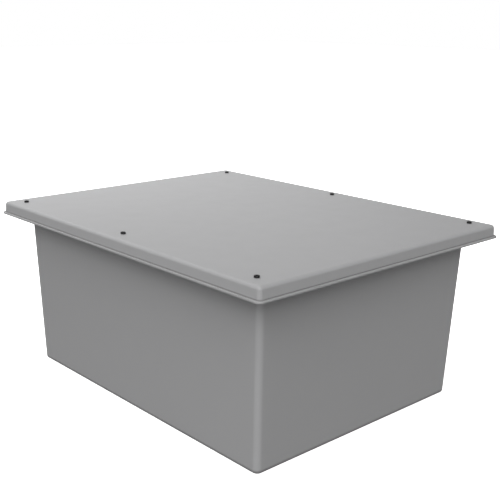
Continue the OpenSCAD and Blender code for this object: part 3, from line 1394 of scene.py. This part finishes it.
def towards(azimuth: float, elevation: float) -> Vector:
    """A direction: azimuth 0 is in front, at -Y, and 90 is at +X."""
    a, e = math.radians(azimuth), math.radians(elevation)
    return Vector((math.sin(a) * math.cos(e), -math.cos(a) * math.cos(e), math.sin(e)))


@dataclass(frozen=True)
class SoftLight:
    """A soft lamp in one direction: far off and even, or a near square panel that falls away."""

    name: str
    azimuth: float
    elevation: float
    strength: float
    kind: LampKind = LampKind.FAR
    spread: float = 50.0
    panel: float = 1.2
    reach: float = 2.2
    aim_height: float = 0.3
    shines: bool = True

    def make(self) -> None:
        """Makes the lamp."""
        lamp = bpy.data.lights.new(self.name, self.kind.value)
        lamp.energy = self.strength
        if self.kind is LampKind.FAR:
            lamp.angle = math.radians(self.spread)
        else:
            lamp.size = self.panel
        holder = bpy.data.objects.new(self.name, lamp)
        back = towards(self.azimuth, self.elevation)
        holder.rotation_mode = "QUATERNION"
        holder.rotation_quaternion = back.to_track_quat("Z", "Y")
        holder.location = Vector((0, 0, self.aim_height)) + back * self.reach
        holder.visible_camera = False
        holder.visible_glossy = self.shines
        bpy.context.scene.collection.objects.link(holder)


@dataclass
class Studio:
    """A pale floor, soft lamps and the camera."""

    azimuth: float = 48.857
    elevation: float = 15.128
    roll: float = 0.46
    distance: float = 2.785
    target: tuple[float, float, float] = (-0.4211, 0.3078, 0.2)
    lens_widths: float = 1.7496
    shift: tuple[float, float] = (0.06, 0.0001)
    floor_size: float = 40.0
    floor_drop: float = 0.2 * MM
    floor_glow: float = 1.0
    lamps: tuple[SoftLight, ...] = (
        SoftLight("side_panel", -90.0, 50.0, 28.5, LampKind.NEAR, shines=False),
        SoftLight("front_low", 20.0, 25.0, 1.23, shines=False),
        SoftLight("front_high", 20.0, 60.0, 0.8, shines=False),
        SoftLight("right_low", 80.0, 25.0, 0.56, shines=False),
        SoftLight("back_fill", 180.0, 5.0, 1.2, shines=False),
        SoftLight("back_rim", -120.0, 25.0, 0.24),
        SoftLight("key", 50.0, 40.0, 0.95),
    )
    ground_light: float = 0.12
    sky_light: float = 0.0
    horizon: float = 0.02

    def make_camera(self) -> None:
        """Looks at the object from its front right corner, a little above it."""
        data = bpy.data.cameras.new("camera")
        data.lens = data.sensor_width * self.lens_widths
        data.shift_x, data.shift_y = self.shift
        camera = bpy.data.objects.new("camera", data)
        back = towards(self.azimuth, self.elevation)
        camera.rotation_mode = "QUATERNION"
        roll = Matrix.Rotation(math.radians(self.roll), 3, "Z").to_quaternion()
        camera.rotation_quaternion = (-back).to_track_quat("-Z", "Y") @ roll
        camera.location = Vector(self.target) + back * self.distance
        bpy.context.scene.collection.objects.link(camera)
        bpy.context.scene.camera = camera

    def make_floor(self) -> None:
        """Lays a white floor, so bright that shadows hardly show on it."""
        half = self.floor_size / 2
        mesh = bpy.data.meshes.new("floor")
        corners = [(-half, -half, 0), (half, -half, 0), (half, half, 0), (-half, half, 0)]
        mesh.from_pydata(corners, [], [(0, 1, 2, 3)])
        floor = bpy.data.objects.new("floor", mesh)
        floor.location.z = -self.floor_drop
        bpy.context.scene.collection.objects.link(floor)
        r = Recipe("floor_white", (0.8, 0.8, 0.8), 0.9)
        r.set("Emission Color", (1.0, 1.0, 1.0, 1.0))
        r.set("Emission Strength", self.floor_glow)
        r.set("Specular IOR Level", 0.0)
        mesh.materials.append(r.material)
        floor.visible_diffuse = False
        floor.visible_glossy = False

    def make_sky(self) -> None:
        """Surrounds the scene with white to the lens, and with a faint light from below."""
        world = bpy.data.worlds.new("sky")
        world.use_nodes = True
        sky = NodeTree(world.node_tree)
        background = sky.tree.nodes["Background"]
        background.inputs["Color"].default_value = (1.0, 1.0, 1.0, 1.0)
        places = sky.node("TexCoord", {}, {}).outputs["Generated"]
        height = sky.node("SeparateXYZ", {}, {0: places}).outputs["Z"]
        level = sky.span(height, self.ground_light, self.sky_light, -self.horizon, self.horizon)
        seen = sky.node("LightPath", {}, {}).outputs["Is Camera Ray"]
        strength = sky.node("Math", {}, {0: level, 1: seen}, operation="MAXIMUM").outputs[0]
        sky.tree.links.new(strength, background.inputs["Strength"])
        bpy.context.scene.world = world

    def build(self) -> None:
        """Sets up the whole studio, with plain colour handling."""
        self.make_camera()
        self.make_floor()
        self.make_sky()
        for lamp in self.lamps:
            lamp.make()
        bpy.context.scene.view_settings.view_transform = "Standard"


def report(name: str, pieces: list[bpy.types.Object]) -> None:
    """Logs what one step made."""
    LOG.info("%s: %s", name, ", ".join(piece.name for piece in pieces))


def main() -> None:
    """Builds the object and the studio."""
    logging.basicConfig(level=logging.INFO, format="%(name)s %(message)s")
    Studio().build()
    shared = Screw(), Finishes()
    stiffeners = Stiffeners(*shared)
    report("tub", [Tub(*shared).build()])
    report("gasket", [Gasket(*shared).build()])
    report("cover", [Cover(*shared).build()])
    report("inserts", Inserts(*shared).build())
    report("stiffeners", stiffeners.build())
    report("cores", stiffeners.dress_cores())
    report("screws", Screws(*shared).build())
    report("washers", Washers(*shared).build())
    bpy.context.view_layer.update()


if __name__ == "__main__":
    main()
